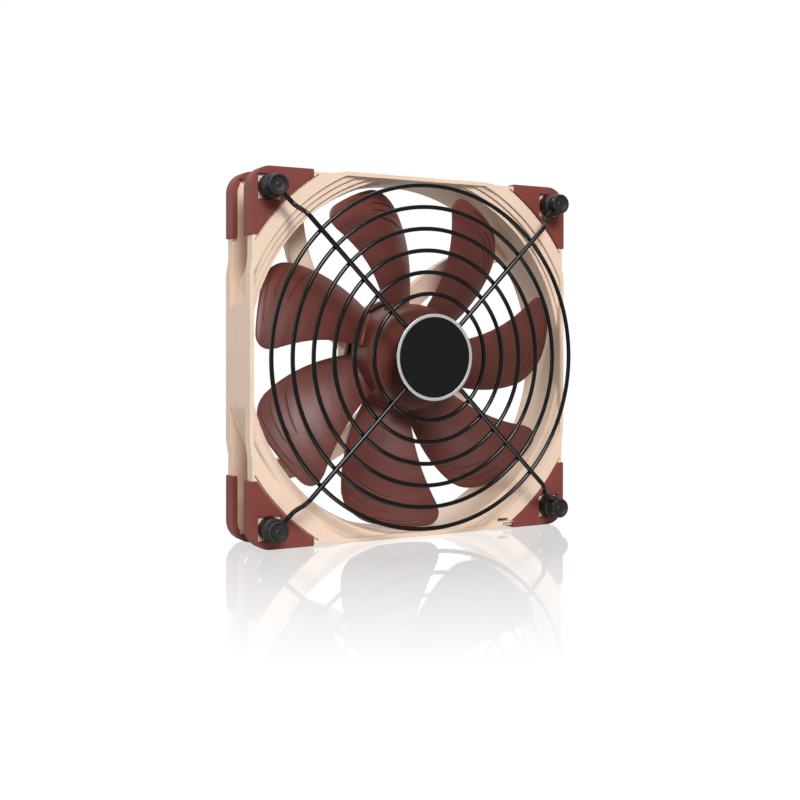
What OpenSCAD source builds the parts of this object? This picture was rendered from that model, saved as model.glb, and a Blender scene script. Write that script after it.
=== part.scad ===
// Case fan, 140 mm square and 25 mm deep, with a wire finger guard on its intake side.
// Every piece is drawn lying on its back: x to the right, y up the standing fan and z
// forwards from the rear mounting plane. stand() then turns it upright, so that the axis
// of the fan lies along Y, the intake faces -Y, and the origin is the centre of the rear
// hole pattern.

/* [Frame] */
// Width and height of the square housing
frame_w = 140; // [139:0.5:141]
// Depth over the corner pads
depth = 25; // [25:0.5:27]
// Hole-to-hole distance along each side
hole_pitch = 124.5; // [124:0.25:125]
// Diameter of the four screw holes in the rear flange
hole_d = 4.3; // [4.2:0.05:4.5]
// Diameter of the four holes in the front flange that hold the rubber pins
pin_hole_d = 4.7; // [4.65:0.05:4.9]
// Radius of the air duct
duct_r = 68.4; // [68.2:0.1:68.6]
// Radius of the outside of the duct wall, between the flanges
duct_outer_r = 72.4; // [71.5:0.1:73]
// Thickness of each of the two flanges
flange_t = 4.8; // [4:0.1:5]

/* [Inlet steps] */
// Radius of the outermost step around the inlet
step_r = 75.1; // [74.5:0.1:76]
// Height of each step
step_h = 0.9; // [0.5:0.1:1]
// How much smaller each step is than the one before
step_w = 2.1; // [1.8:0.1:2.2]

/* [Corner pads] */
// Thickness of a pad over the face of the flange
pad_skin = 1.2; // [1:0.1:1.4]
// Thickness of a pad around the edge of the flange
pad_edge = 0.9; // [0.7:0.1:1]
// Depth of a pad from its face to its inner lip
pad_depth = 6.8; // [6.4:0.1:7.2]
// Distance from the middle of a side to the end of a pad
pad_start = 44.6; // [43:0.1:46]
// Radius of the curved inner edge of a pad
pad_arc_r = 80.6; // [80.2:0.1:81]

/* [Impeller] */
// Number of blades
blades = 7; // [5:1:9]
// Radius of the blade tips
tip_r = 67.4; // [66:0.1:67.6]
// Radius of the hub
hub_r = 20.8; // [20.6:0.1:21]
// Greatest thickness of a blade at its root
blade_t = 2.0; // [1.6:0.1:2.4]

/* [Guard] */
// Number of rings outside the badge
rings = 6; // [5:1:6]
// Radius of the outermost ring
ring_r = 65.6; // [64:0.1:67]
// Distance from one ring to the next
ring_gap = 8.27; // [8:0.01:8.5]
// Diameter of the ring wire
ring_wire_d = 1.65; // [1.5:0.05:1.8]
// Diameter of the wire of the arms
arm_wire_d = 1.8; // [1.6:0.05:2]
// Height of the rings above the rear mounting plane
ring_z = 34.1; // [33.5:0.1:35]
// Radius of the round badge
badge_r = 16.55; // [16:0.05:17]

/* [Hidden] */

$fn = 96;
eps = 0.01;

// frame
half_w = frame_w / 2;
face_proud = 0.2;
frame_rear = face_proud;
frame_front = depth - face_proud;
rear_flange_top = frame_rear + flange_t;
front_flange_bottom = frame_front - flange_t;
hole_at = hole_pitch / 2;
corner_r = 8.2;
ear_half_w = half_w - pad_edge;
ear_corner_r = corner_r - pad_edge;
ramp_from = 31;
ramp_to = 37;
rim_half_w = half_w - 1.6;
duct_mouth_r = duct_r + 1;
duct_mouth_h = 6;
step_count = 3;
ear_rear = pad_skin;
hole_boss_r = 3.4;
ear_front = depth - pad_skin;
slot_w = 0.6;
slot_half_angle = 12.9;
duct_grooves = 4;
duct_groove_w = 0.5;
duct_groove_h = 0.35;
duct_groove_pitch = 3;

// cable outlet in the front flange, beside the lower right pad
outlet_x = 37.2;
outlet_y = -67.1;
outlet_w = 5;
outlet_h = 1.3;

// motor base and its struts
base_r = 23;
base_wall = 1.3;
base_floor_top = 1.7;
base_rim_top = 6;
label_recess = 0.2;
tube_r = 6;
tube_bore_r = 5;
tube_top = 16.6;
struts = 4;
strut_w = 8.4;
strut_top = 4.4;
strut_arc_r = 75;
strut_root = [-44, 53];
strut_end = [-19.5, 5.5];
cable_w = 3.2;
cable_channel_h = 1.6;

// pads
pad_lip_w = 2.3;
window_w = 9;

// guard mounts
mount_base_r = 4.45;
mount_base_top = 30.1;
mount_groove_r = 2.3;
mount_groove_top = 32.1;
mount_cap_r = 3.9;
mount_cap_top = 33.5;
mount_neck_r = pin_hole_d / 2 - 0.1;
mount_barb_r = 3;
mount_barb_h = 3.2;

// guard
arm_r = arm_wire_d / 2;
weld = 0.15;
arm_z = ring_z + ring_wire_d / 2 + arm_r - weld;
eyelet_z = (mount_base_top + mount_groove_top) / 2;
eyelet_r = mount_groove_r + arm_r + 0.05;
corner_reach = hole_at * sqrt(2);
arm_bend_high = 74;
arm_bend_low = 78.5;
badge_ring_r = 14.5;

// badge
badge_back = arm_z + arm_r;
badge_plate_t = 0.9;
badge_rim_w = 1.2;
badge_rim_h = 0.25;
badge_face_t = 0.12;

// impeller hub
hub_rear = 6.9;
hub_front = 23.6;
hub_wall = 1.3;
hub_round = 4;
hub_bore_r = hub_r - hub_wall;
boss_r = 5.2;
boss_rear = 17.8;

// rotor inside the hub
yoke_r = hub_bore_r;
yoke_wall = 0.9;
yoke_rear = 7.6;
yoke_front = hub_front - hub_round;
magnet_wall = 1.6;
magnet_r = yoke_r - yoke_wall;
magnet_rear = 7.8;
magnet_front = 18.5;
bushing_r = 3.4;
shaft_r = 1.5;
shaft_rear = 2.2;
shaft_front = hub_front - hub_wall - 0.1;
clip_groove_r = 1.15;
clip_rear = 2.5;
clip_front = 2.9;
clip_r = 2.7;

// bearing
shell_rear = 2;
shell_front = tube_top + 0.3;
sleeve_r = 4;
sleeve_rear = 3.2;
sleeve_front = 16.2;
running_gap = 0.03;
cap_rear = 0.45;
cap_front = 0.95;
stabiliser_front = 1.6;
thrust_front = 1.9;

// stator
poles = 4;
core_rear = 9.5;
core_front = 15.5;
air_gap = 0.5;
core_r = magnet_r - magnet_wall - air_gap;
core_hub_r = 8.6;
pole_neck_w = 4.2;
pole_shoe_t = 2;
pole_half_angle = 39;
insulator_t = 1.2;
coil_wall = 2.6;
coil_in = 9.2;
coil_out = 13.6;
coil_gap = 0.05;
pin_r = 0.35;
pin_at = 14.6;

// circuit board
board_r = 20.2;
board_rear = 4.3;
board_front = 5.3;
board_bore_r = tube_r + 0.4;

// blade outline: angle in degrees ahead of the hub radius, and height above the rear
// plane, of both edges at a share s of the way from the hub to the tip
function lead_angle(s) = 15.2 - 9 * s + 31.6 * pow(s, 2) - 13.5 * pow(s, 3);
function trail_angle(s) = -28.8 + 19 * s - 4.6 * pow(s, 2) + 5.7 * pow(s, 3);
function lead_z(s) = 15.5 + 15.75 * s - 8.6 * pow(s, 2);
function trail_z(s) = 7.1 - 0.3 * s + 0.6 * pow(s, 2);
function span_share(r) = (r - 20) / 45;

// blade section: rise of the mean line and half thickness at a share c of the chord
camber = 0.07;
blade_tip_share = 0.55;
edge_t = 0.25;
lead_round = 0.2;
trail_round = 0.27;
round_drop = 7.5;
blade_cols = 12;
blade_rows = 11;
first_blade_angle = 0;
blade_root_r = hub_r - 0.6;
function round_off(x) = x >= 1 ? 0 : 1 - sqrt(1 - pow(1 - x, 2));
function tip_at(c) =
    tip_r - round_drop * (round_off(c / lead_round) + round_off((1 - c) / trail_round));
function half_thickness(c, share) =
    edge_t + (blade_t * (1 - (1 - blade_tip_share) * share) / 2 - edge_t)
        * pow(sin(180 * pow(c, 0.8)), 0.7);

// a point of the blade: share c from the leading edge, share w from root to tip, and
// side +1 for the front surface or -1 for the rear one
function blade_point(c, w, side) =
    let (
        r = blade_root_r + w * (tip_at(c) - blade_root_r),
        s = span_share(r),
        lead = [r * lead_angle(s) * PI / 180, lead_z(s)],
        trail = [r * trail_angle(s) * PI / 180, trail_z(s)],
        chord = trail - lead,
        normal = [chord[1], -chord[0]] / norm(chord),
        rise = camber * norm(chord) * 4 * c * (1 - c) + side * half_thickness(c, w),
        p = lead + c * chord + rise * normal,
        a = p[0] / r * 180 / PI
    )
    [r * cos(a), r * sin(a), p[1]];

// shares along the chord, closer together at the two edges
function chord_share(i) = (1 - cos(180 * i / blade_cols)) / 2;

// points of one surface of the blade; a rim of triangles joins the two surfaces
function blade_grid(side) = [
    for (j = [0 : blade_rows], i = [0 : blade_cols])
        blade_point(chord_share(i), j / blade_rows, side)
];
function grid_at(i, j) = j * (blade_cols + 1) + i;

// distance from the middle of a strut's arc to its centre
function arc_centre(a, b, r) =
    let (
        mid = (a + b) / 2,
        half = norm(b - a) / 2,
        along = (b - a) / norm(b - a),
        across = [-along[1], along[0]]
    )
    mid + across * sqrt(r * r - half * half);
strut_centre = arc_centre(strut_root, strut_end, strut_arc_r);

frame_colour = "#e0c4a6";
pad_colour = "#6b352c";
blade_colour = "#6d3a31";
rubber_colour = "#202020";
wire_colour = "#262422";
steel_colour = "#b8b8bc";
copper_colour = "#b5692f";
brass_colour = "#c0a050";

module stand() {
    rotate([90, 0, 0]) children();
}

// a flat shape given thickness from one height to another
module plate(from, to) {
    translate([0, 0, from]) linear_extrude(to - from) children();
}

module ring(outer, inner, from, to) {
    plate(from, to) difference() {
        circle(outer);
        circle(inner);
    }
}

module rounded_square(half, r) {
    square([2 * half, 2 * (half - r)], center = true);
    square([2 * (half - r), 2 * half], center = true);
    for (sx = [-1, 1], sy = [-1, 1])
        translate([sx * (half - r), sy * (half - r)]) circle(r);
}

module at_holes() {
    for (sx = [-1, 1], sy = [-1, 1])
        translate([sx * hole_at, sy * hole_at]) children();
}

// outline of a flange: full width in the middle of each side, and set back at the ears
module flange_outline() {
    rounded_square(ear_half_w, ear_corner_r);
    for (a = [0 : 90 : 270])
        rotate(a) polygon([
            [-ramp_to, 0], [-ramp_to, ear_half_w], [-ramp_from, half_w],
            [ramp_from, half_w], [ramp_to, ear_half_w], [ramp_to, 0]
        ]);
}

// the part of one corner that a pad covers, grown by a gap at its curved edge
module pad_area(gap) {
    difference() {
        translate([pad_start, pad_start]) square(half_w - pad_start + 1);
        circle(pad_arc_r - gap, $fn = 192);
    }
}

module pad_slot() {
    for (a = [45 : 90 : 315])
        rotate(a) intersection() {
            difference() {
                circle(pad_arc_r, $fn = 192);
                circle(pad_arc_r - slot_w, $fn = 192);
            }
            polygon([
                [0, 0],
                100 * [cos(slot_half_angle), -sin(slot_half_angle)],
                100 * [cos(slot_half_angle), sin(slot_half_angle)]
            ]);
        }
}

module pad_seats() {
    for (a = [0 : 90 : 270]) rotate(a) pad_area(slot_w);
    pad_slot();
}

module duct() {
    translate([0, 0, -1]) cylinder(r = duct_r, h = depth + 2, $fn = 192);
    intersection() {
        union() {
            mouth_from = frame_front - step_count * step_h - duct_mouth_h;
            translate([0, 0, mouth_from])
                cylinder(r1 = duct_r - eps, r2 = duct_mouth_r, h = duct_mouth_h, $fn = 192);
            translate([0, 0, mouth_from + duct_mouth_h - eps])
                cylinder(r = duct_mouth_r, h = step_count * step_h + 1, $fn = 192);
            for (i = [0 : step_count - 1])
                translate([0, 0, frame_front - (i + 1) * step_h])
                    cylinder(r = step_r - i * step_w, h = (i + 1) * step_h + 1, $fn = 192);
        }
        plate(0, depth + 2) square(2 * rim_half_w, center = true);
    }
}

// curved strut, from inside the duct wall to inside the motor base
module strut() {
    intersection() {
        translate([strut_centre[0], strut_centre[1], frame_rear])
            difference() {
                cylinder(r = strut_arc_r + strut_w / 2, h = strut_top - frame_rear, $fn = 192);
                translate([0, 0, -1])
                    cylinder(r = strut_arc_r - strut_w / 2, h = strut_top + 2, $fn = 192);
            }
        ring(duct_r + 0.8, base_r - base_wall / 2, 0, strut_top + 1);
        plate(0, strut_top + 1)
            polygon([[0, 0], [-120, 0], [-120, 140], [-70, 140]]);
    }
}

// groove that leads the cable along the back of one strut
module cable_channel() {
    rotate(180) intersection() {
        translate([strut_centre[0], strut_centre[1], -1])
            difference() {
                cylinder(r = strut_arc_r + cable_w / 2, h = cable_channel_h + 1);
                translate([0, 0, -1])
                    cylinder(r = strut_arc_r - cable_w / 2, h = cable_channel_h + 3);
            }
        ring(duct_outer_r + 4, board_r - 3, -2, cable_channel_h + 1);
        plate(-2, cable_channel_h + 1)
            polygon([[0, 0], [-120, 0], [-120, 140], [-70, 140]]);
    }
}

module motor_base() {
    ring(base_r, tube_bore_r, frame_rear + label_recess, base_floor_top);
    ring(base_r, base_r - base_wall, frame_rear, base_rim_top);
    ring(tube_r, tube_bore_r, frame_rear + label_recess, tube_top);
}

module frame() color(frame_colour) stand() {
    difference() {
        union() {
            plate(frame_rear, rear_flange_top) flange_outline();
            plate(front_flange_bottom, frame_front) flange_outline();
            intersection() {
                plate(frame_rear, frame_front) square(frame_w, center = true);
                cylinder(r = duct_outer_r, h = depth, $fn = 192);
            }
        }
        duct();
        at_holes() translate([0, 0, -1]) cylinder(d = hole_d, h = depth / 2 + 1, $fn = 48);
        at_holes() translate([0, 0, depth / 2]) cylinder(d = pin_hole_d, h = depth, $fn = 48);
        plate(-1, ear_rear) difference() {
            pad_seats();
            at_holes() circle(hole_boss_r, $fn = 48);
        }
        plate(ear_front, depth + 1) pad_seats();
        for (i = [0 : duct_grooves - 1])
            translate([0, 0, depth / 2 + (i - 1.1) * duct_groove_pitch])
                ring(duct_outer_r + 1, duct_outer_r - duct_groove_h, 0, duct_groove_w);
        translate([outlet_x, outlet_y, front_flange_bottom - 1])
            cube([outlet_w, outlet_h, flange_t + 2]);
        translate([outlet_x + outlet_w / 2, outlet_y - 2.4, frame_front - 1.4])
            cube([outlet_w, 1.8, 2]);
        cable_channel();
    }
    motor_base();
    difference() {
        for (i = [0 : struts - 1]) rotate(90 * i) strut();
        cable_channel();
    }
}

module pad(corner) {
    intersection() {
        rotate(90 * (corner - 1)) plate(depth - pad_depth, depth) pad_area(0);
        plate(depth - pad_depth, depth) difference() {
            rounded_square(half_w, corner_r);
            at_holes() square(window_w, center = true);
        }
        difference() {
            cube(2 * frame_w, center = true);
            plate(depth - pad_depth - 1, front_flange_bottom)
                rounded_square(half_w - pad_lip_w, corner_r - pad_lip_w);
            plate(front_flange_bottom - eps, ear_front)
                rounded_square(ear_half_w, ear_corner_r);
        }
    }
}

module front_pad(corner) color(pad_colour) stand() pad(corner);

module rear_pad(corner) color(pad_colour) stand()
    translate([0, 0, depth]) mirror([0, 0, 1]) pad(corner);

// rubber pin: a barb behind the flange, a base, a groove for the guard and a hollow cap
module guard_mount(corner) color(rubber_colour) stand()
    rotate(90 * (corner - 1)) translate([hole_at, hole_at, 0]) rotate_extrude($fn = 48)
        polygon([
            [0, front_flange_bottom - mount_barb_h - 0.2],
            [mount_neck_r - 0.5, front_flange_bottom - mount_barb_h - 0.2],
            [mount_barb_r, front_flange_bottom - 0.8],
            [mount_barb_r, front_flange_bottom - 0.1],
            [mount_neck_r, front_flange_bottom - 0.1],
            [mount_neck_r, ear_front],
            [mount_base_r, ear_front],
            [mount_base_r, mount_base_top - 1.1],
            [mount_base_r - 0.4, mount_base_top - 0.9],
            [mount_base_r - 0.4, mount_base_top],
            [mount_groove_r, mount_base_top],
            [mount_groove_r, mount_groove_top],
            [mount_cap_r - 0.3, mount_groove_top],
            [mount_cap_r, mount_groove_top + 0.3],
            [mount_cap_r, mount_cap_top - 0.3],
            [mount_cap_r - 0.3, mount_cap_top],
            [mount_cap_r - 0.9, mount_cap_top],
            [mount_cap_r - 1.5, mount_cap_top - 0.7],
            [0, mount_cap_top - 0.9]
        ]);

module wire_ring(r, wire_r, z) {
    translate([0, 0, z]) rotate_extrude() translate([r, 0]) circle(wire_r, $fn = 24);
}

// straight wire between two points of the plane through the axis and a corner
module wire(from, to) {
    step = to - from;
    translate([from[0], 0, from[1]]) rotate([0, atan2(step[0], step[1]), 0])
        cylinder(r = arm_r, h = norm(step), $fn = 24);
    translate([to[0], 0, to[1]]) sphere(arm_r, $fn = 24);
}

module guard_arm() {
    wire([-1, arm_z], [arm_bend_high, arm_z]);
    wire([arm_bend_high, arm_z], [arm_bend_low, eyelet_z]);
    wire([arm_bend_low, eyelet_z], [corner_reach - eyelet_r, eyelet_z]);
    translate([corner_reach, 0, 0]) wire_ring(eyelet_r, arm_r, eyelet_z);
}

module wire_guard() color(wire_colour) stand() {
    for (i = [0 : rings - 1]) wire_ring(ring_r - i * ring_gap, ring_wire_d / 2, ring_z);
    wire_ring(badge_ring_r, ring_wire_d / 2, ring_z);
    for (a = [45 : 90 : 315]) rotate(a) guard_arm();
}

module badge_plate() color(wire_colour) stand()
    plate(badge_back, badge_back + badge_plate_t) circle(badge_r);

module badge_rim() color("silver") stand()
    ring(
        badge_r, badge_r - badge_rim_w,
        badge_back + badge_plate_t, badge_back + badge_plate_t + badge_rim_h
    );

module badge_face() color("#181818") stand()
    plate(badge_back + badge_plate_t, badge_back + badge_plate_t + badge_face_t)
        circle(badge_r - badge_rim_w - 0.05);

module hub_shell() {
    rotate_extrude() difference() {
        union() {
            translate([0, hub_rear]) square([hub_r, hub_front - hub_round - hub_rear]);
            translate([0, hub_rear]) square([hub_r - hub_round, hub_front - hub_rear]);
            translate([hub_r - hub_round, hub_front - hub_round]) circle(hub_round);
        }
        translate([-hub_r, 0]) square([hub_r, hub_front + 1]);
        translate([0, hub_rear - 1])
            square([hub_bore_r, hub_front - hub_round - hub_rear + 1]);
        translate([0, hub_rear - 1])
            square([hub_r - hub_round, hub_front - hub_wall - hub_rear + 1]);
    }
}

module blade() {
    n = (blade_cols + 1) * (blade_rows + 1);
    polyhedron(
        points = concat(blade_grid(-1), blade_grid(1)),
        faces = concat(
            [for (j = [0 : blade_rows - 1], i = [0 : blade_cols - 1], k = [0, 1])
                k == 0
                    ? [grid_at(i, j), grid_at(i + 1, j), grid_at(i + 1, j + 1)]
                    : [grid_at(i, j), grid_at(i + 1, j + 1), grid_at(i, j + 1)]],
            [for (j = [0 : blade_rows - 1], i = [0 : blade_cols - 1], k = [0, 1])
                k == 0
                    ? [n + grid_at(i, j), n + grid_at(i + 1, j + 1), n + grid_at(i + 1, j)]
                    : [n + grid_at(i, j), n + grid_at(i, j + 1), n + grid_at(i + 1, j + 1)]],
            [for (j = [0 : blade_rows - 1], i = [0, blade_cols], k = [0, 1])
                let (
                    a = grid_at(i, j), b = grid_at(i, j + 1),
                    t = k == 0 ? [a, b, n + b] : [a, n + b, n + a]
                )
                i == 0 ? t : [t[2], t[1], t[0]]],
            [for (j = [0, blade_rows], i = [0 : blade_cols - 1], k = [0, 1])
                let (
                    a = grid_at(i, j), b = grid_at(i + 1, j),
                    t = k == 0 ? [b, a, n + a] : [b, n + a, n + b]
                )
                j == 0 ? t : [t[2], t[1], t[0]]]
        )
    );
}

module impeller() color(blade_colour) stand() {
    hub_shell();
    ring(boss_r, bushing_r, boss_rear, hub_front - hub_wall + eps);
    for (i = [0 : blades - 1]) rotate(first_blade_angle + i * 360 / blades) blade();
}

module rotor_yoke() color(steel_colour) stand() {
    ring(yoke_r, yoke_r - yoke_wall, yoke_rear, yoke_front);
    ring(yoke_r, yoke_r - hub_round, yoke_front - yoke_wall, yoke_front);
}

module rotor_magnet() color("#3c3c40") stand()
    ring(magnet_r, magnet_r - magnet_wall, magnet_rear, magnet_front);

module shaft() color(steel_colour) stand() {
    translate([0, 0, shaft_rear]) cylinder(r = shaft_r, h = clip_rear - shaft_rear);
    translate([0, 0, clip_rear]) cylinder(r = clip_groove_r, h = clip_front - clip_rear);
    translate([0, 0, clip_front]) cylinder(r = shaft_r, h = shaft_front - clip_front);
}

module shaft_bushing() color(brass_colour) stand()
    ring(bushing_r, shaft_r, boss_rear, hub_front - hub_wall);

// open ring that snaps into the groove at the rear end of the shaft
module retaining_clip() color(steel_colour) stand()
    difference() {
        ring(clip_r, clip_groove_r, clip_rear, clip_front);
        translate([0, -0.7, clip_rear - 1]) cube([clip_r + 1, 1.4, 3]);
    }

module bearing_shell() color(brass_colour) stand()
    ring(tube_bore_r, sleeve_r, shell_rear, shell_front);

module bearing_sleeve() color("#a87f45") stand()
    ring(sleeve_r, shaft_r + running_gap, sleeve_rear, sleeve_front);

module oil_seal() color("#303030") stand()
    ring(sleeve_r, shaft_r + 0.4, sleeve_front, shell_front);

module end_cap() color("#c8b090") stand()
    plate(cap_rear, cap_front) circle(tube_bore_r);

module stabiliser_magnet() color("#505058") stand()
    plate(cap_front, stabiliser_front) circle(tube_bore_r - 0.4);

module thrust_pad() color("#e8e8e0") stand()
    plate(stabiliser_front, thrust_front) circle(clip_r);

module base_label() color("#d8d8d4") stand()
    plate(frame_rear, frame_rear + label_recess) circle(base_r - base_wall - 0.1);

// four poles with curved shoes around a ring that grips the bearing tube
module core_outline() {
    difference() {
        union() {
            circle(core_hub_r);
            for (i = [0 : poles - 1]) rotate(i * 360 / poles) {
                translate([0, -pole_neck_w / 2]) square([core_r - 1, pole_neck_w]);
                intersection() {
                    difference() {
                        circle(core_r);
                        circle(core_r - pole_shoe_t);
                    }
                    polygon([
                        [0, 0],
                        30 * [cos(pole_half_angle), -sin(pole_half_angle)],
                        30 * [cos(pole_half_angle), sin(pole_half_angle)]
                    ]);
                }
            }
        }
        circle(tube_r);
    }
}

module stator_core() color(steel_colour) stand()
    plate(core_rear, core_front) core_outline();

module insulator_front() color("#e9e6da") stand()
    plate(core_front, core_front + insulator_t) core_outline();

module insulator_rear() color("#e9e6da") stand()
    plate(core_rear - insulator_t, core_rear) core_outline();

module coil(pole) color(copper_colour) stand()
    rotate((pole - 1) * 360 / poles) difference() {
        inner_h = core_front - core_rear + 2 * insulator_t + 2 * coil_gap;
        mid = (core_front + core_rear) / 2;
        translate([coil_in, -pole_neck_w / 2 - coil_wall, mid - inner_h / 2 - 0.9])
            cube([coil_out - coil_in, pole_neck_w + 2 * coil_wall, inner_h + 1.8]);
        translate([coil_in - 1, -pole_neck_w / 2 - coil_gap, mid - inner_h / 2])
            cube([coil_out, pole_neck_w + 2 * coil_gap, inner_h]);
    }

module at_pins() {
    for (i = [0 : poles - 1]) rotate(45 + i * 360 / poles)
        translate([coil_in, 0, 0]) children();
}

module coil_pins() color(steel_colour) stand()
    for (i = [0 : poles - 1]) rotate(i * 360 / poles)
        translate([pin_at, 0, board_rear - 0.4])
            cylinder(r = pin_r, h = core_rear - insulator_t - board_rear + 0.4, $fn = 24);

module circuit_board() color("#1f5c3a") stand()
    plate(board_rear, board_front) difference() {
        circle(board_r);
        circle(board_bore_r);
        for (i = [0 : poles - 1]) rotate(i * 360 / poles)
            translate([pin_at, 0]) circle(pin_r, $fn = 24);
    }

module chip(angle, r, size) {
    rotate(angle) translate([r - size[0] / 2, -size[1] / 2, board_front]) cube(size);
}

module driver_chip() color("#202022") stand() chip(210, 12.5, [5, 4, 1.5]);

module hall_sensor() color("#202022") stand() chip(45, 17.4, [1.6, 4, 1.2]);

module capacitors() color("#b49a6c") stand()
    for (a = [150, 165]) chip(a, 13, [1.6, 3.2, 1.4]);

module resistors() color("#303034") stand()
    for (a = [60, 72, 108, 120, 132]) chip(a, 12.5, [2, 1.2, 0.6]);

module solder_joints() color(steel_colour) stand()
    for (i = [0 : 3])
        rotate(300 + i * 12) translate([17, 0, board_rear - 0.6])
            cylinder(r1 = 0.5, r2 = 1, h = 0.6, $fn = 24);

frame();
front_pad(1);  // front_pad_1
front_pad(2);  // front_pad_2
front_pad(3);  // front_pad_3
front_pad(4);  // front_pad_4
rear_pad(1);  // rear_pad_1
rear_pad(2);  // rear_pad_2
rear_pad(3);  // rear_pad_3
rear_pad(4);  // rear_pad_4
guard_mount(1);  // guard_mount_1
guard_mount(2);  // guard_mount_2
guard_mount(3);  // guard_mount_3
guard_mount(4);  // guard_mount_4
wire_guard();
badge_plate();
badge_rim();
badge_face();
impeller();
rotor_yoke();
rotor_magnet();
shaft();
shaft_bushing();
retaining_clip();
bearing_shell();
bearing_sleeve();
oil_seal();
thrust_pad();
stabiliser_magnet();
end_cap();
base_label();
stator_core();
insulator_front();
insulator_rear();
coil(1);  // coil_1
coil(2);  // coil_2
coil(3);  // coil_3
coil(4);  // coil_4
coil_pins();
circuit_board();
driver_chip();
hall_sensor();
capacitors();
resistors();
solder_joints();
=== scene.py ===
import math

import bmesh
import bpy
from mathutils import Matrix, Vector


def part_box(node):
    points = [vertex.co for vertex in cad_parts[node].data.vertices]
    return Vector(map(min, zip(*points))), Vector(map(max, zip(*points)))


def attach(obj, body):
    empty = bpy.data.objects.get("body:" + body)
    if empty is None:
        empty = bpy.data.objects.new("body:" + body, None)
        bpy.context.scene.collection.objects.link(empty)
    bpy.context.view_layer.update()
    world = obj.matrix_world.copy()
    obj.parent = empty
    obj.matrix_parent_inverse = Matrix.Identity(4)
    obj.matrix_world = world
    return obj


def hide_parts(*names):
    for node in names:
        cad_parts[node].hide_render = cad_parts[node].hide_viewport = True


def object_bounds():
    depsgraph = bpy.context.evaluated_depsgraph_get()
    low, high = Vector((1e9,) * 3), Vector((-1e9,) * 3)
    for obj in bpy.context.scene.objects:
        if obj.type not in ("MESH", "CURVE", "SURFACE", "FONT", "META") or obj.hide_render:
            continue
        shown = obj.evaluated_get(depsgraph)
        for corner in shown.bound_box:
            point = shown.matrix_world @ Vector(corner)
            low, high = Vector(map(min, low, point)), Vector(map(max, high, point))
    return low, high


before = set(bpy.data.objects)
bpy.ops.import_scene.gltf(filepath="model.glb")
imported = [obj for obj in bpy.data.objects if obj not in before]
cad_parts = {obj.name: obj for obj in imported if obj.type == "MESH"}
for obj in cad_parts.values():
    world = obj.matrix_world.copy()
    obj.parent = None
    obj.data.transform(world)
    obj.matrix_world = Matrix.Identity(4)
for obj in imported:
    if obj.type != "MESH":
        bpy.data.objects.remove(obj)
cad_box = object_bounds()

# Looks of a 140 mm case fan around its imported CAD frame. The fan stands upright with its
# axis along Y and its intake facing -Y. Shapes are drawn in millimetres, lying on their
# back: x to the right, y up the fan, h forwards from the rear mounting plane.

MM = 0.001
FLOOR_Z = cad_box[0].z
MIDDLE_Y = -0.0125
CORNERS = range(1, 5)


def place(x, y, h):
    """A lying point in millimetres as an upright point in metres."""
    return Vector((x, -h, y)) * MM


def heights(node):
    """Lowest and highest h of a CAD node, in millimetres."""
    low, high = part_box(node)
    return -high.y / MM, -low.y / MM


def half_width(node):
    """Half of a CAD node's size across the fan, in millimetres: the radius of a round one."""
    low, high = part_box(node)
    return (high.x - low.x) / 2 / MM


def centre_of(node):
    """Where a CAD node's middle lies across and up the fan, in millimetres."""
    low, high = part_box(node)
    return (low.x + high.x) / 2 / MM, (low.z + high.z) / 2 / MM


# ---------------------------------------------------------------- camera

CAMERA_AT = (-0.2262, -0.4189, 0.0072)
CAMERA_TURN = (28.95, 0.5, 0.07)
FOCAL_LENGTH = 52.5
SENSOR_WIDTH = 36
CAMERA_SHIFT = -0.0643


def aim_camera():
    """Stands the camera to the left of the fan, a little above its middle."""
    yaw, pitch, roll = (math.radians(a) for a in CAMERA_TURN)
    ahead = math.cos(pitch)
    forward = Vector((math.sin(yaw) * ahead, math.cos(yaw) * ahead, -math.sin(pitch)))
    level = Vector((math.cos(yaw), -math.sin(yaw), 0))
    upright = level.cross(forward)
    right = level * math.cos(roll) + upright * math.sin(roll)
    up = upright * math.cos(roll) - level * math.sin(roll)
    lens = bpy.data.cameras.new("camera")
    lens.lens = FOCAL_LENGTH
    lens.sensor_width = SENSOR_WIDTH
    lens.shift_y = CAMERA_SHIFT
    lens.clip_start = 0.01
    camera = bpy.data.objects.new("camera", lens)
    bpy.context.scene.collection.objects.link(camera)
    turn = Matrix((right, up, -forward)).transposed().to_4x4()
    camera.matrix_world = Matrix.Translation(CAMERA_AT) @ turn
    bpy.context.scene.camera = camera


# ---------------------------------------------------------------- node helpers

def colour(r, g, b):
    """An sRGB colour, 0 to 255, as a linear one."""
    def linear(v):
        v /= 255
        return v / 12.92 if v <= 0.04045 else ((v + 0.055) / 1.055) ** 2.4
    return (linear(r), linear(g), linear(b), 1)


def add(tree, kind, inputs=None, **settings):
    """A node whose inputs are set by name or number, to a value or to another node's output."""
    made = tree.nodes.new(kind)
    for name, value in settings.items():
        setattr(made, name, value)
    for name, value in (inputs or {}).items():
        if isinstance(value, bpy.types.NodeSocket):
            tree.links.new(value, made.inputs[name])
        else:
            made.inputs[name].default_value = value
    return made


def material(name, **uniform):
    """An empty Principled material: (material, tree, shader, object coordinates)."""
    made = bpy.data.materials.new(name)
    made.use_nodes = True
    tree = made.node_tree
    shader = tree.nodes["Principled BSDF"]
    for socket, value in uniform.items():
        shader.inputs[socket.replace("_", " ")].default_value = value
    return made, tree, shader, add(tree, "ShaderNodeTexCoord").outputs["Object"]


def noise(tree, where, scale, detail=3):
    return add(tree, "ShaderNodeTexNoise", {
        "Vector": where, "Scale": scale, "Detail": detail, "Roughness": 0.55}).outputs["Fac"]


def mixed(tree, factor, first, second):
    """The colour between two colours; the mix node keeps those in sockets 6 and 7."""
    return add(tree, "ShaderNodeMix", {0: factor, 6: first, 7: second}, data_type="RGBA").outputs[2]


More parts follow.
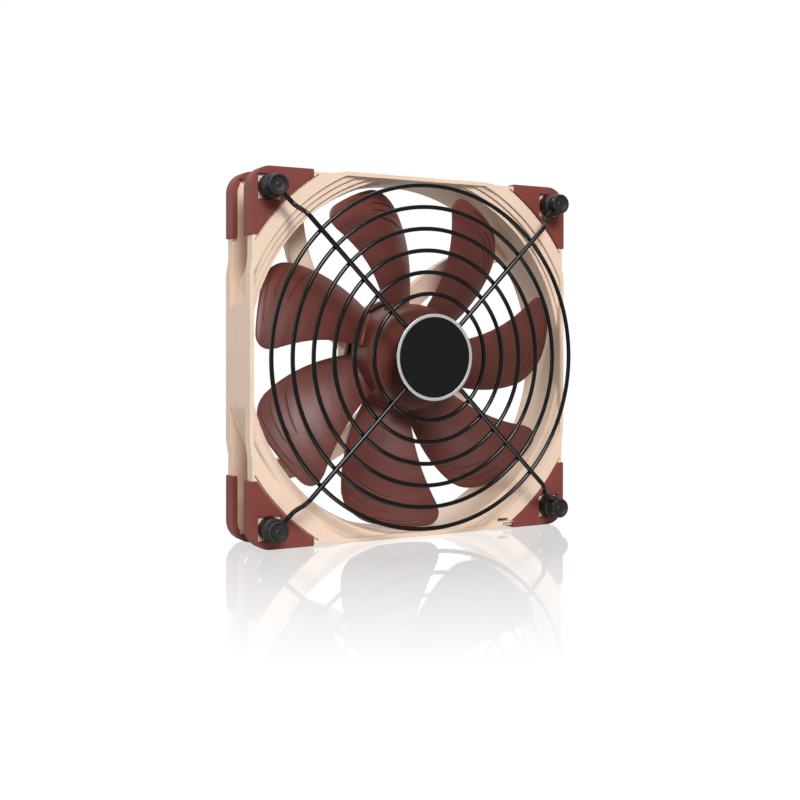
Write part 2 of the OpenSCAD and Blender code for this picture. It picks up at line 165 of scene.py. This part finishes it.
def mapped(tree, value, low, high, to_low, to_high):
    """The value, with low to high stretched to to_low to to_high and held at its ends."""
    return add(tree, "ShaderNodeMapRange", {
        "Value": value, "From Min": low, "From Max": high,
        "To Min": to_low, "To Max": to_high}).outputs["Result"]


def maths(tree, operation, first, second):
    return add(tree, "ShaderNodeMath", {0: first, 1: second}, operation=operation).outputs[0]


def bumped(tree, height, strength, depth, after=None):
    """A normal tilted by a height pattern, on top of another normal if there is one."""
    inputs = {"Height": height, "Strength": strength, "Distance": depth}
    if after is not None:
        inputs["Normal"] = after
    return add(tree, "ShaderNodeBump", inputs).outputs["Normal"]


def finish_with(tree, shader, base, roughness, normal):
    tree.links.new(base, shader.inputs["Base Color"])
    tree.links.new(roughness, shader.inputs["Roughness"])
    tree.links.new(normal, shader.inputs["Normal"])


# ---------------------------------------------------------------- materials

def moulded(name, dark, light, roughness, grain=2600, depth=0.00006, strength=0.25, **uniform):
    """Moulded plastic or rubber: soft clouding, fine specks and a fine spark-eroded grain."""
    made, tree, shader, where = material(name, **uniform)
    cloud = noise(tree, where, 45, 4)
    specks = noise(tree, where, grain, 2)
    cloud_part, speck_part = maths(tree, "MULTIPLY", cloud, 0.65), maths(tree, "MULTIPLY", specks, 0.35)
    both = maths(tree, "ADD", cloud_part, speck_part)
    base = mixed(tree, mapped(tree, both, 0.32, 0.68, 0, 1), dark, light)
    rough = mapped(tree, specks, 0.25, 0.75, roughness - 0.06, roughness + 0.06)
    waves = bumped(tree, noise(tree, where, 170, 2), 0.12, 0.0003)
    normal = bumped(tree, specks, strength, depth, waves)
    finish_with(tree, shader, base, rough, normal)
    return made


def lacquered_wire():
    """Black lacquer over steel wire, with faint orange peel."""
    made, tree, shader, where = material("lacquered_wire", Specular_IOR_Level=0.35)
    peel = noise(tree, where, 900, 3)
    base = mixed(tree, noise(tree, where, 240, 3), colour(5, 5, 5), colour(12, 11, 10))
    rough = mapped(tree, peel, 0.3, 0.7, 0.12, 0.18)
    finish_with(tree, shader, base, rough, bumped(tree, peel, 0.03, 0.00004))
    return made


def badge_black():
    """Black face plate with a fine circular grain."""
    made, tree, shader, where = material("badge_black", Specular_IOR_Level=0.3)
    split = add(tree, "ShaderNodeSeparateXYZ", {0: where})
    flat = add(tree, "ShaderNodeCombineXYZ", {0: split.outputs[0], 1: split.outputs[2], 2: 0.0}).outputs[0]
    radius = add(tree, "ShaderNodeVectorMath", {0: flat}, operation="LENGTH").outputs["Value"]
    rings = add(tree, "ShaderNodeTexNoise", {"W": radius, "Scale": 5200, "Detail": 2},
                noise_dimensions="1D").outputs["Fac"]
    specks = noise(tree, where, 3000, 2)
    base = mixed(tree, specks, colour(4, 4, 5), colour(11, 11, 13))
    normal = bumped(tree, specks, 0.1, 0.00003, bumped(tree, rings, 0.1, 0.00003))
    finish_with(tree, shader, base, mapped(tree, rings, 0.3, 0.7, 0.28, 0.42), normal)
    return made


def metal(name, dark, light, roughness, lines=1400):
    """Turned or drawn metal with fine lines and a slight stain."""
    made, tree, shader, where = material(name, Metallic=1.0)
    stretch = add(tree, "ShaderNodeMapping", {"Vector": where, "Scale": (1, 14, 1)}).outputs[0]
    fine = noise(tree, stretch, lines, 3)
    base = mixed(tree, noise(tree, where, 120, 4), dark, light)
    rough = mapped(tree, fine, 0.25, 0.75, roughness - 0.07, roughness + 0.1)
    finish_with(tree, shader, base, rough, bumped(tree, fine, 0.15, 0.00003))
    return made


def wound_copper():
    """Enamelled wire laid side by side, 0.25 mm thick, across the depth of the coil."""
    made, tree, shader, where = material("wound_copper", Metallic=0.9, Coat_Weight=0.5)
    turns = add(tree, "ShaderNodeTexWave", {"Vector": where, "Scale": 640, "Distortion": 0.4, "Detail": 1},
                wave_type="BANDS", bands_direction="Y").outputs["Fac"]
    base = mixed(tree, turns, colour(112, 52, 22), colour(198, 112, 58))
    finish_with(tree, shader, base, mapped(tree, turns, 0, 1, 0.5, 0.28), bumped(tree, turns, 0.8, 0.0001))
    return made


def printed_board():
    """Green solder mask over copper tracks, drawn by a cell pattern."""
    made, tree, shader, where = material("printed_board", Coat_Weight=0.5, Coat_Roughness=0.15)
    cells = add(tree, "ShaderNodeTexVoronoi", {"Vector": where, "Scale": 330},
                feature="DISTANCE_TO_EDGE").outputs["Distance"]
    tracks = mapped(tree, cells, 0.06, 0.1, 0, 1)
    base = mixed(tree, tracks, colour(20, 62, 38), colour(38, 104, 62))
    rough = mapped(tree, noise(tree, where, 1500, 2), 0.3, 0.7, 0.3, 0.42)
    finish_with(tree, shader, base, rough, bumped(tree, tracks, 0.4, 0.00004))
    return made


def foil_label():
    """Blank silvery foil label with a faint fibre texture."""
    made, tree, shader, where = material("foil_label", Metallic=0.35)
    fibres = noise(tree, where, 1900, 4)
    base = mixed(tree, fibres, colour(176, 176, 174), colour(206, 206, 203))
    rough = mapped(tree, fibres, 0.3, 0.7, 0.34, 0.46)
    finish_with(tree, shader, base, rough, bumped(tree, fibres, 0.15, 0.00003))
    return made


FINISH = {
    "housing_plastic": moulded("housing_plastic", colour(220, 193, 171), colour(233, 206, 184), 0.46),
    "pad_rubber": moulded("pad_rubber", colour(112, 52, 45), colour(129, 64, 55), 0.55, grain=3200,
                          strength=0.4, Specular_IOR_Level=0.3),
    "blade_plastic": moulded("blade_plastic", colour(94, 44, 36), colour(108, 53, 44), 0.46, grain=2200,
                             depth=0.00008, strength=0.3),
    "black_rubber": moulded("black_rubber", colour(14, 14, 15), colour(25, 25, 27), 0.48),
    "guard_wire": lacquered_wire(),
    "badge_black": badge_black(),
    "badge_silver": metal("badge_silver", colour(226, 226, 228), colour(244, 244, 246), 0.42),
    "yoke_steel": metal("yoke_steel", colour(150, 150, 154), colour(182, 182, 186), 0.32),
    "shaft_steel": metal("shaft_steel", colour(176, 176, 180), colour(206, 206, 210), 0.22),
    "core_steel": metal("core_steel", colour(128, 128, 134), colour(166, 166, 170), 0.38, lines=2600),
    "magnet": moulded("magnet", colour(44, 44, 48), colour(62, 62, 66), 0.5),
    "brass": metal("brass", colour(176, 140, 66), colour(206, 172, 96), 0.28),
    "bearing_bronze": metal("bearing_bronze", colour(150, 104, 62), colour(184, 136, 84), 0.42, lines=3200),
    "thrust_polymer": moulded("thrust_polymer", colour(222, 222, 214), colour(236, 236, 230), 0.42),
    "cap_plastic": moulded("cap_plastic", colour(196, 168, 142), colour(212, 184, 158), 0.5),
    "label": foil_label(),
    "insulator": moulded("insulator", colour(226, 222, 208), colour(238, 235, 222), 0.42),
    "copper": wound_copper(),
    "board": printed_board(),
    "chip": moulded("chip", colour(26, 26, 28), colour(38, 38, 41), 0.44),
    "ceramic": moulded("ceramic", colour(168, 142, 98), colour(190, 164, 118), 0.36),
    "solder": metal("solder", colour(178, 178, 180), colour(214, 214, 216), 0.3),
}


# ---------------------------------------------------------------- mesh helpers

def piece(name, mesh, body, slot, *stands_for, smooth=35):
    """Shows a mesh as a finished piece that rides on a body and stands for CAD nodes."""
    mesh.materials.clear()
    mesh.materials.append(FINISH[slot])
    mesh.shade_smooth()
    mesh.set_sharp_from_angle(angle=math.radians(smooth))
    made = bpy.data.objects.new(name, mesh)
    bpy.context.scene.collection.objects.link(made)
    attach(made, body)
    if stands_for:
        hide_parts(*stands_for)
    return made


def mesh_of(name, points, faces, merge=1e-7):
    """A mesh from lying points in millimetres; merge is in metres."""
    mesh = bpy.data.meshes.new(name)
    mesh.from_pydata([place(*p) for p in points], [], faces)
    work = bmesh.new()
    work.from_mesh(mesh)
    bmesh.ops.remove_doubles(work, verts=work.verts, dist=merge)
    bmesh.ops.recalc_face_normals(work, faces=work.faces)
    work.to_mesh(mesh)
    work.free()
    return mesh


def lathe(name, outline, centre=(0, 0), steps=96):
    """A closed outline of (radius, h) points turned about an axis along h."""
    points, faces = [], []
    count = len(outline)
    for k in range(steps):
        a = 2 * math.pi * k / steps
        points += [(centre[0] + r * math.cos(a), centre[1] + r * math.sin(a), h) for r, h in outline]
        for i in range(count):
            j, m = (i + 1) % count, (k + 1) % steps
            faces.append((k * count + i, k * count + j, m * count + j, m * count + i))
    return mesh_of(name, points, faces)


def rounded(corners, radii, steps=5):
    """A closed 2-D outline whose corners are rounded, each by its own radius."""
    made = []
    count = len(corners)
    for i, corner in enumerate(corners):
        here = Vector(corner)
        before = Vector(corners[i - 1]) - here
        after = Vector(corners[(i + 1) % count]) - here
        if radii[i] <= 0 or before.length < 1e-9 or after.length < 1e-9:
            made.append(tuple(here))
            continue
        half = before.angle(after) / 2
        reach = min(radii[i] / math.tan(half), 0.49 * before.length, 0.49 * after.length)
        start = here + before.normalized() * reach
        end = here + after.normalized() * reach
        for k in range(steps + 1):
            t = k / steps
            made.append(tuple(start * (1 - t) ** 2 + here * 2 * t * (1 - t) + end * t ** 2))
    return made


def tube(path, radius, sides=16, closed=False):
    """Points and faces of a round tube along a path, with a dome on each open end."""
    points, faces = [], []
    path = [Vector(p) for p in path]
    count = len(path)
    normal = None
    rings = []
    for i, p in enumerate(path):
        if closed:
            along = (path[(i + 1) % count] - path[i - 1]).normalized()
        else:
            along = (path[min(i + 1, count - 1)] - path[max(i - 1, 0)]).normalized()
        if normal is None:
            normal = along.cross(Vector((0, 0, 1)) if abs(along.z) < 0.9 else Vector((1, 0, 0)))
        normal = (normal - along * normal.dot(along)).normalized()
        rings.append((p, along, normal, radius))
    if not closed:
        first, last = rings[0], rings[-1]
        for a in (math.radians(30), math.radians(60), math.radians(85)):
            out, small = radius * math.sin(a), radius * math.cos(a)
            rings.insert(0, (first[0] - first[1] * out, first[1], first[2], small))
            rings.append((last[0] + last[1] * out, last[1], last[2], small))
    for p, along, across, r in rings:
        other = along.cross(across)
        for k in range(sides):
            a = 2 * math.pi * k / sides
            points.append(tuple(p + across * r * math.cos(a) + other * r * math.sin(a)))
    loops = len(rings)
    for i in range(loops if closed else loops - 1):
        for k in range(sides):
            m, n = (k + 1) % sides, (i + 1) % loops
            faces.append((i * sides + k, i * sides + m, n * sides + m, n * sides + k))
    if not closed:
        faces.append(tuple(range(sides)))
        faces.append(tuple((loops - 1) * sides + k for k in reversed(range(sides))))
    return points, faces


def bent(corners, radius, steps=8):
    """A path through corner points, with each inner corner bent to a radius."""
    corners = [Vector(c) for c in corners]
    made = [corners[0]]
    for before, here, after in zip(corners, corners[1:], corners[2:]):
        to_before, to_after = before - here, after - here
        half = to_before.angle(to_after) / 2
        reach = min(radius / math.tan(half), 0.45 * to_before.length, 0.45 * to_after.length)
        start = here + to_before.normalized() * reach
        end = here + to_after.normalized() * reach
        for k in range(steps + 1):
            t = k / steps
            made.append(start * (1 - t) ** 2 + here * 2 * t * (1 - t) + end * t ** 2)
    return made + [corners[-1]]


def gather(name, parts):
    """One mesh out of several (points, faces) shells."""
    points, faces = [], []
    for part_points, part_faces in parts:
        shift = len(points)
        points += part_points
        faces += [tuple(shift + i for i in face) for face in part_faces]
    return mesh_of(name, points, faces)


def combined(mesh, others, operation):
    """The mesh with other meshes joined to it or cut from it."""
    base = bpy.data.objects.new("base", mesh)
    bpy.context.scene.collection.objects.link(base)
    made = [base]
    for other in others:
        tool = bpy.data.objects.new("tool", other)
        bpy.context.scene.collection.objects.link(tool)
        made.append(tool)
        step = base.modifiers.new("step", "BOOLEAN")
        step.operation = operation
        step.solver = "MANIFOLD"
        step.object = tool
    bpy.context.view_layer.update()
    seen = base.evaluated_get(bpy.context.evaluated_depsgraph_get())
    result = bpy.data.meshes.new_from_object(seen)
    for used in made:
        bpy.data.objects.remove(used)
    return result


def softened(node, width, slot, segments=2):
    """A copy of a CAD node of the housing with its outward edges rounded, which stands for it."""
    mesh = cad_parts[node].data.copy()
    work = bmesh.new()
    work.from_mesh(mesh)
    bmesh.ops.remove_doubles(work, verts=work.verts, dist=2e-6)
    flat, least = math.radians(0.05), math.radians(30)
    bmesh.ops.dissolve_limit(work, angle_limit=flat, verts=work.verts, edges=work.edges)
    sharp = [e for e in work.edges if e.is_manifold and e.is_convex and e.calc_face_angle(0) > least]
    bmesh.ops.bevel(work, geom=sharp, offset=width * MM, offset_type="OFFSET", segments=segments,
                    profile=0.5, affect="EDGES", clamp_overlap=False, miter_outer="ARC")
    work.to_mesh(mesh)
    work.free()
    made = piece(node + "_moulded", mesh, "housing", slot, node, smooth=40)
    made.modifiers.new("even", "WEIGHTED_NORMAL").keep_sharp = True
    return made


# ---------------------------------------------------------------- impeller

HUB_R = 20.8
HUB_WALL = 1.3
HUB_ROUND = 4.0
BOSS_R = 5.2
BOSS_BORE_R = 3.4
BOSS_H = 5.8

# blades: EDGE is half of the thickness at the edges, TIP_SHARE the tip's part of the root's
# thickness, CAMBER the rise of the section as a part of its chord, and TIP_DROP how much
# shorter than TIP_R the rounded corners of the tip end
BLADES = 7
TIP_R = half_width("impeller")
EDGE = 0.25
ROOT_T = 2.0
TIP_SHARE = 0.55
CAMBER = 0.07
TIP_DROP = 7.5
SPAN_START = 20
SPAN = 45


def round_off(x):
    """A quarter circle that falls from 1 at x = 0 to 0 at x = 1."""
    return 0 if x >= 1 else 1 - math.sqrt(1 - (1 - x) ** 2)


def tip_at(c):
    """Radius of the tip at a share c of the chord, counted from the leading edge."""
    return TIP_R - TIP_DROP * (round_off(c / 0.2) + round_off((1 - c) / 0.27))


def leading_edge(s):
    """Angle in degrees and h of the leading edge at a share s of the span."""
    return 15.2 - 9 * s + 31.6 * s ** 2 - 13.5 * s ** 3, 15.5 + 15.75 * s - 8.6 * s ** 2


def trailing_edge(s):
    """Angle in degrees and h of the trailing edge at a share s of the span."""
    return -28.8 + 19 * s - 4.6 * s ** 2 + 5.7 * s ** 3, 7.1 - 0.3 * s + 0.6 * s ** 2


def half_thickness(c, w):
    """Half of the blade's thickness at a share c of the chord and a share w from root to tip."""
    fat = ROOT_T * (1 - (1 - TIP_SHARE) * w) / 2 - EDGE
    return EDGE + fat * max(0, math.sin(math.pi * c ** 0.8)) ** 0.7


def blade_point(c, r, lift, along=0):
    """A point over the blade's mean surface at radius r, lifted off it and moved along the chord."""
    s = (r - SPAN_START) / SPAN
    (lead_angle, lead_h), (trail_angle, trail_h) = leading_edge(s), trailing_edge(s)
    lead = Vector((r * math.radians(lead_angle), lead_h))
    chord = Vector((r * math.radians(trail_angle), trail_h)) - lead
    unit = chord.normalized()
    lead, chord = lead + unit * EDGE, chord - unit * 2 * EDGE
    normal = Vector((unit.y, -unit.x))
    p = lead + chord * c + unit * along + normal * (CAMBER * chord.length * 4 * c * (1 - c) + lift)
    return r * math.cos(p.x / r), r * math.sin(p.x / r), p.y


def blade_mesh():
    """One blade as rows of sections, from inside the hub's wall to its domed tip."""
    chord_steps, edge_steps, span_steps = 44, 6, 40
    root_fillet, root_swell = 1.4, 0.7
    shares = [(1 - math.cos(math.pi * i / chord_steps)) / 2 for i in range(chord_steps + 1)]
    turns = [math.pi * (k + 1) / (edge_steps + 1) for k in range(edge_steps)]
    # around the section: front surface, trailing edge, rear surface, leading edge
    section = [(c, 1, 0) for c in shares]
    section += [(1, math.cos(a), EDGE * math.sin(a)) for a in turns]
    section += [(c, -1, 0) for c in reversed(shares)]
    section += [(0, -math.cos(a), -EDGE * math.sin(a)) for a in turns]
    near_hub = [-0.6, -0.2, 0.1, 0.35, 0.7, 1.1, 1.6]
    rest = [i / span_steps for i in range(1, span_steps + 1)]
    points = []

    def row(radius_at, share, thin=1):
        for c, side, along in section:
            r = radius_at(c)
            clear = max(0, 1 - max(0, r - HUB_R) / root_fillet)
            lift = (half_thickness(c, share) + root_swell * clear ** 2) * side * thin
            points.append(blade_point(c, r, lift, along))

    def cap(c):
        return half_thickness(c, 1)

    for step in near_hub:
        row(lambda c: HUB_R + step, 0)
    start = HUB_R + near_hub[-1]
    for w in rest:
        row(lambda c: start + w * (tip_at(c) - cap(c) - start), w)
    for a in (22, 45, 67, 90):
        turn = math.radians(a)
        row(lambda c: tip_at(c) - cap(c) * (1 - math.sin(turn)), 1, math.cos(turn))
    count = len(section)
    rows = len(points) // count
    faces = [
        (j * count + i, j * count + (i + 1) % count, (j + 1) * count + (i + 1) % count, (j + 1) * count + i)
        for j in range(rows - 1) for i in range(count)
    ]
    faces.append(tuple(reversed(range(count))))
    return mesh_of("blade", points, faces, merge=2e-6)


# flow grooves in the front surface: (share of the chord, radius) where each starts and ends,
# and how far it bows outwards between them; the cutting tube floats GROOVE_CLEAR above the
# surface at the groove's ends and comes GROOVE_DIP closer in between
GROOVES = (
    ((0.22, 64.6), (0.93, 64.4), 0.6), ((0.5, 61.8), (0.93, 59.0), 0.7),
    ((0.48, 59.2), (0.94, 54.8), 0.8), ((0.44, 56.4), (0.95, 50.2), 0.9))
GROOVE_R = 0.4
GROOVE_CLEAR = 0.38
GROOVE_DIP = 0.48


def groove_mesh(start, end, bow):
    steps = 28
    path = []
    for k in range(steps + 1):
        t = k / steps
        c = start[0] + (end[0] - start[0]) * t
        r = start[1] + (end[1] - start[1]) * t + bow * 4 * t * (1 - t)
        ramp = min(1, t * 5, (1 - t) * 5)
        lift = half_thickness(c, (r - HUB_R) / (TIP_R - HUB_R)) + GROOVE_CLEAR - GROOVE_DIP * ramp
        path.append(blade_point(c, r, lift))
    return mesh_of("groove", *tube(path, GROOVE_R, sides=12))


def impeller():
    rear, front = heights("impeller")
    bore = HUB_R - HUB_WALL
    shoulder = HUB_R - HUB_ROUND
    outline = rounded(
        [(HUB_R, rear), (HUB_R, front), (BOSS_R, front), (BOSS_BORE_R, front), (BOSS_BORE_R, front - BOSS_H),
         (BOSS_R, front - BOSS_H), (BOSS_R, front - HUB_WALL), (shoulder, front - HUB_WALL),
         (shoulder, front - HUB_ROUND), (bore, front - HUB_ROUND), (bore, rear)],
        [0.3, HUB_ROUND, 0, 0, 0.2, 0.2, 0, 0, 0, 0, 0.3], steps=10)
    hub = lathe("hub", outline, steps=224)
    blade = combined(blade_mesh(), [groove_mesh(*g) for g in GROOVES], "DIFFERENCE")
    copies = []
    for i in range(BLADES):
        copy = blade.copy()
        copy.transform(Matrix.Rotation(-2 * math.pi * i / BLADES, 4, "Y"))
        copies.append(copy)
    whole = combined(hub, copies, "UNION")
    return piece("impeller_moulding", whole, "rotor", "blade_plastic", "impeller", smooth=38)


# ---------------------------------------------------------------- finger guard and its mounts

RING_WIRE = 1.65
ARM_WIRE = 1.8
RING_GAP = 8.27
RINGS = 6
RING_R = 65.6
BADGE_RING_R = 14.5
WELD = 0.15
ARM_BEND_FROM = 74
ARM_BEND_TO = 78.5
ARM_BEND_R = 5
EYELET_GAP = 0.05
GROOVE_CORE_R = 2.3
NECK_R = 2.25
BARB_R = 3.0


def circle_path(radius, h, centre=(0, 0), steps=160):
    return [
        (centre[0] + radius * math.cos(2 * math.pi * k / steps),
         centre[1] + radius * math.sin(2 * math.pi * k / steps), h)
        for k in range(steps)
    ]


def finger_guard():
    """Rings and the badge's ring, with four arms on top that end in an eyelet around each pin."""
    top = heights("wire_guard")[1]
    arm_h = top - ARM_WIRE / 2
    ring_h = arm_h - ARM_WIRE / 2 - RING_WIRE / 2 + WELD
    shells = [
        tube(circle_path(RING_R - i * RING_GAP, ring_h), RING_WIRE / 2, closed=True) for i in range(RINGS)
    ]
    shells.append(tube(circle_path(BADGE_RING_R, ring_h, steps=96), RING_WIRE / 2, closed=True))
    eyelet_r = GROOVE_CORE_R + ARM_WIRE / 2 + EYELET_GAP
    eyelet_h = heights("wire_guard")[0] + ARM_WIRE / 2
    for n in CORNERS:
        x, y = centre_of(f"guard_mount_{n}")
        reach = math.hypot(x, y)
        line = [(-1, arm_h), (ARM_BEND_FROM, arm_h), (ARM_BEND_TO, eyelet_h), (reach - eyelet_r, eyelet_h)]
        corners = [(s * x / reach, s * y / reach, h) for s, h in line]
        shells.append(tube(bent(corners, ARM_BEND_R), ARM_WIRE / 2))
        shells.append(tube(circle_path(eyelet_r, eyelet_h, (x, y), 56), ARM_WIRE / 2, closed=True))
    return piece("finger_guard", gather("finger_guard", shells), "housing", "guard_wire", "wire_guard")


def guard_mount(n):
    """A rubber pin: barb behind the ear, base on it, groove for the eyelet and a dished cap."""
    node = f"guard_mount_{n}"
    rear, top = heights(node)
    base_r = half_width(node)
    cap_r = base_r - 0.55
    ear = heights("front_pad_1")[1] - 1.2
    base_top, groove_top = top - 3.4, top - 1.4
    # radius, height and rounding of each corner of the outline
    corners = [
        (0, rear, 0), (NECK_R - 0.5, rear, 0.3), (BARB_R, rear + 2.6, 0.3), (BARB_R, rear + 3.3, 0.15),
        (NECK_R, rear + 3.3, 0.1), (NECK_R, ear, 0), (base_r, ear, 0.2), (base_r, base_top - 1.1, 0.25),
        (base_r - 0.4, base_top - 0.9, 0.2), (base_r - 0.4, base_top, 0.35),
        (GROOVE_CORE_R, base_top, 0.3), (GROOVE_CORE_R, groove_top, 0.3),
        (cap_r, groove_top, 0.4), (cap_r, top, 0.35), (cap_r - 0.8, top, 0.3), (cap_r - 1.3, top - 0.7, 0.4),
        (0.9, top - 0.9, 0.4), (0.5, top - 0.65, 0.2), (0, top - 0.6, 0),
    ]
    outline = rounded([(r, h) for r, h, _ in corners], [round_r for _, _, round_r in corners], steps=4)
    mesh = lathe(node, outline, centre_of(node), steps=64)
    return piece(f"guard_pin_{n}", mesh, "housing", "black_rubber", node)


# ---------------------------------------------------------------- badge

def badge():
    """Plate, bright bezel and a plain dial, all round."""
    back, plate_top = heights("badge_plate")
    radius = half_width("badge_plate")
    rim_top = heights("badge_rim")[1]
    face_top = heights("badge_face")[1]
    face_r = half_width("badge_face")
    plate = rounded([(0, back), (radius, back), (radius, plate_top), (0, plate_top)], [0, 0.35, 0, 0])
    piece("badge_back", lathe("badge_back", plate, steps=192), "housing", "badge_black", "badge_plate")
    rim = rounded(
        [(radius, plate_top), (radius, rim_top), (face_r + 0.1, rim_top), (face_r, plate_top)],
        [0, 0.22, 0.12, 0])
    piece("badge_bezel", lathe("badge_bezel", rim, steps=192), "housing", "badge_silver", "badge_rim")
    dial = [(0, plate_top), (face_r, plate_top), (face_r, face_top), (0, face_top)]
    piece("badge_dial", lathe("badge_dial", dial, steps=192), "housing", "badge_black", "badge_face")


# ---------------------------------------------------------------- carried-over nodes

SLOT_OF = {
    "rotor_yoke": "yoke_steel", "rotor_magnet": "magnet", "shaft": "shaft_steel", "shaft_bushing": "brass",
    "retaining_clip": "shaft_steel", "bearing_shell": "brass", "bearing_sleeve": "bearing_bronze",
    "oil_seal": "black_rubber", "thrust_pad": "thrust_polymer", "stabiliser_magnet": "magnet",
    "end_cap": "cap_plastic", "base_label": "label", "stator_core": "core_steel",
    "insulator_front": "insulator", "insulator_rear": "insulator", "coil_pins": "shaft_steel",
    "circuit_board": "board", "driver_chip": "chip", "hall_sensor": "chip", "capacitors": "ceramic",
    "resistors": "chip", "solder_joints": "solder",
    "coil_1": "copper", "coil_2": "copper", "coil_3": "copper", "coil_4": "copper",
}


def dress_inner_nodes():
    for node, slot in SLOT_OF.items():
        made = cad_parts[node]
        made.data.materials.clear()
        made.data.materials.append(FINISH[slot])


# ---------------------------------------------------------------- studio

WHITE = (1, 1, 1, 1)


def floor_material():
    """White acrylic lit from below: it mirrors the fan close by, and is plain white further away."""
    made = bpy.data.materials.new("white_acrylic")
    made.use_nodes = True
    tree = made.node_tree
    tree.nodes.clear()
    where = add(tree, "ShaderNodeTexCoord").outputs["Object"]
    away = add(tree, "ShaderNodeVectorMath", {0: where}, operation="LENGTH").outputs["Value"]
    gloss = mapped(tree, away, 0.06, 0.2, 0.38, 0.0)
    seen = add(tree, "ShaderNodeLightPath").outputs["Is Camera Ray"]
    strength = mapped(tree, seen, 0, 1, 0.42, 1.02)
    glow = add(tree, "ShaderNodeEmission", {"Color": WHITE, "Strength": strength}).outputs[0]
    shine = add(tree, "ShaderNodeBsdfGlossy", {"Color": WHITE, "Roughness": 0.03}).outputs[0]
    both = add(tree, "ShaderNodeMixShader", {0: gloss, 1: glow, 2: shine}).outputs[0]
    add(tree, "ShaderNodeOutputMaterial", {0: both})
    return made


def lay_floor():
    mesh = bpy.data.meshes.new("floor")
    far = 6
    corners = [(-far, -far, 0), (far, -far, 0), (far, far, 0), (-far, far, 0)]
    mesh.from_pydata(corners, [], [(0, 1, 2, 3)])
    mesh.materials.append(floor_material())
    floor = bpy.data.objects.new("floor", mesh)
    bpy.context.scene.collection.objects.link(floor)
    floor.location = (0, MIDDLE_Y, FLOOR_Z)


def light_world():
    """White to the camera; in reflections bright behind the fan, and a dim fill as light."""
    world = bpy.data.worlds.new("studio")
    bpy.context.scene.world = world
    world.use_nodes = True
    tree = world.node_tree
    tree.nodes.clear()
    towards = add(tree, "ShaderNodeTexCoord").outputs["Generated"]
    depth = add(tree, "ShaderNodeSeparateXYZ", {0: towards}).outputs["Y"]
    mirrored = mapped(tree, depth, -0.1, 0.35, 0.3, 1.02)
    path = add(tree, "ShaderNodeLightPath").outputs
    dimmed = mapped(tree, path["Is Diffuse Ray"], 0, 1, 1, 0.5)
    strength = maths(tree, "MAXIMUM", maths(tree, "MULTIPLY", mirrored, dimmed), path["Is Camera Ray"])
    glow = add(tree, "ShaderNodeBackground", {"Color": WHITE, "Strength": strength}).outputs[0]
    add(tree, "ShaderNodeOutputWorld", {0: glow})


def softbox(name, position, size, power):
    """A white rectangular lamp that faces the middle of the fan."""
    lamp = bpy.data.lights.new(name, "AREA")
    lamp.shape = "RECTANGLE"
    lamp.size, lamp.size_y = size
    lamp.energy = power
    made = bpy.data.objects.new(name, lamp)
    bpy.context.scene.collection.objects.link(made)
    made.location = position
    towards = Vector((0, MIDDLE_Y, 0)) - Vector(position)
    made.rotation_euler = towards.to_track_quat("-Z", "Y").to_euler()


def light_studio():
    light_world()
    softbox("key", (-0.2, -1.12, 0.8), (0.6, 0.45), 19.5)
    softbox("side", (-1.3, 0.05, 0.2), (1.5, 1.3), 8.5)
    softbox("top", (0.1, 0.2, 0.9), (0.7, 0.5), 2)
    bpy.context.scene.view_settings.view_transform = "Standard"


# ---------------------------------------------------------------- build

aim_camera()
softened("frame", 0.1, "housing_plastic")
for corner in CORNERS:
    softened(f"front_pad_{corner}", 0.4, "pad_rubber", segments=3)
    softened(f"rear_pad_{corner}", 0.4, "pad_rubber", segments=3)
    guard_mount(corner)
finger_guard()
badge()
impeller()
dress_inner_nodes()
lay_floor()
light_studio()
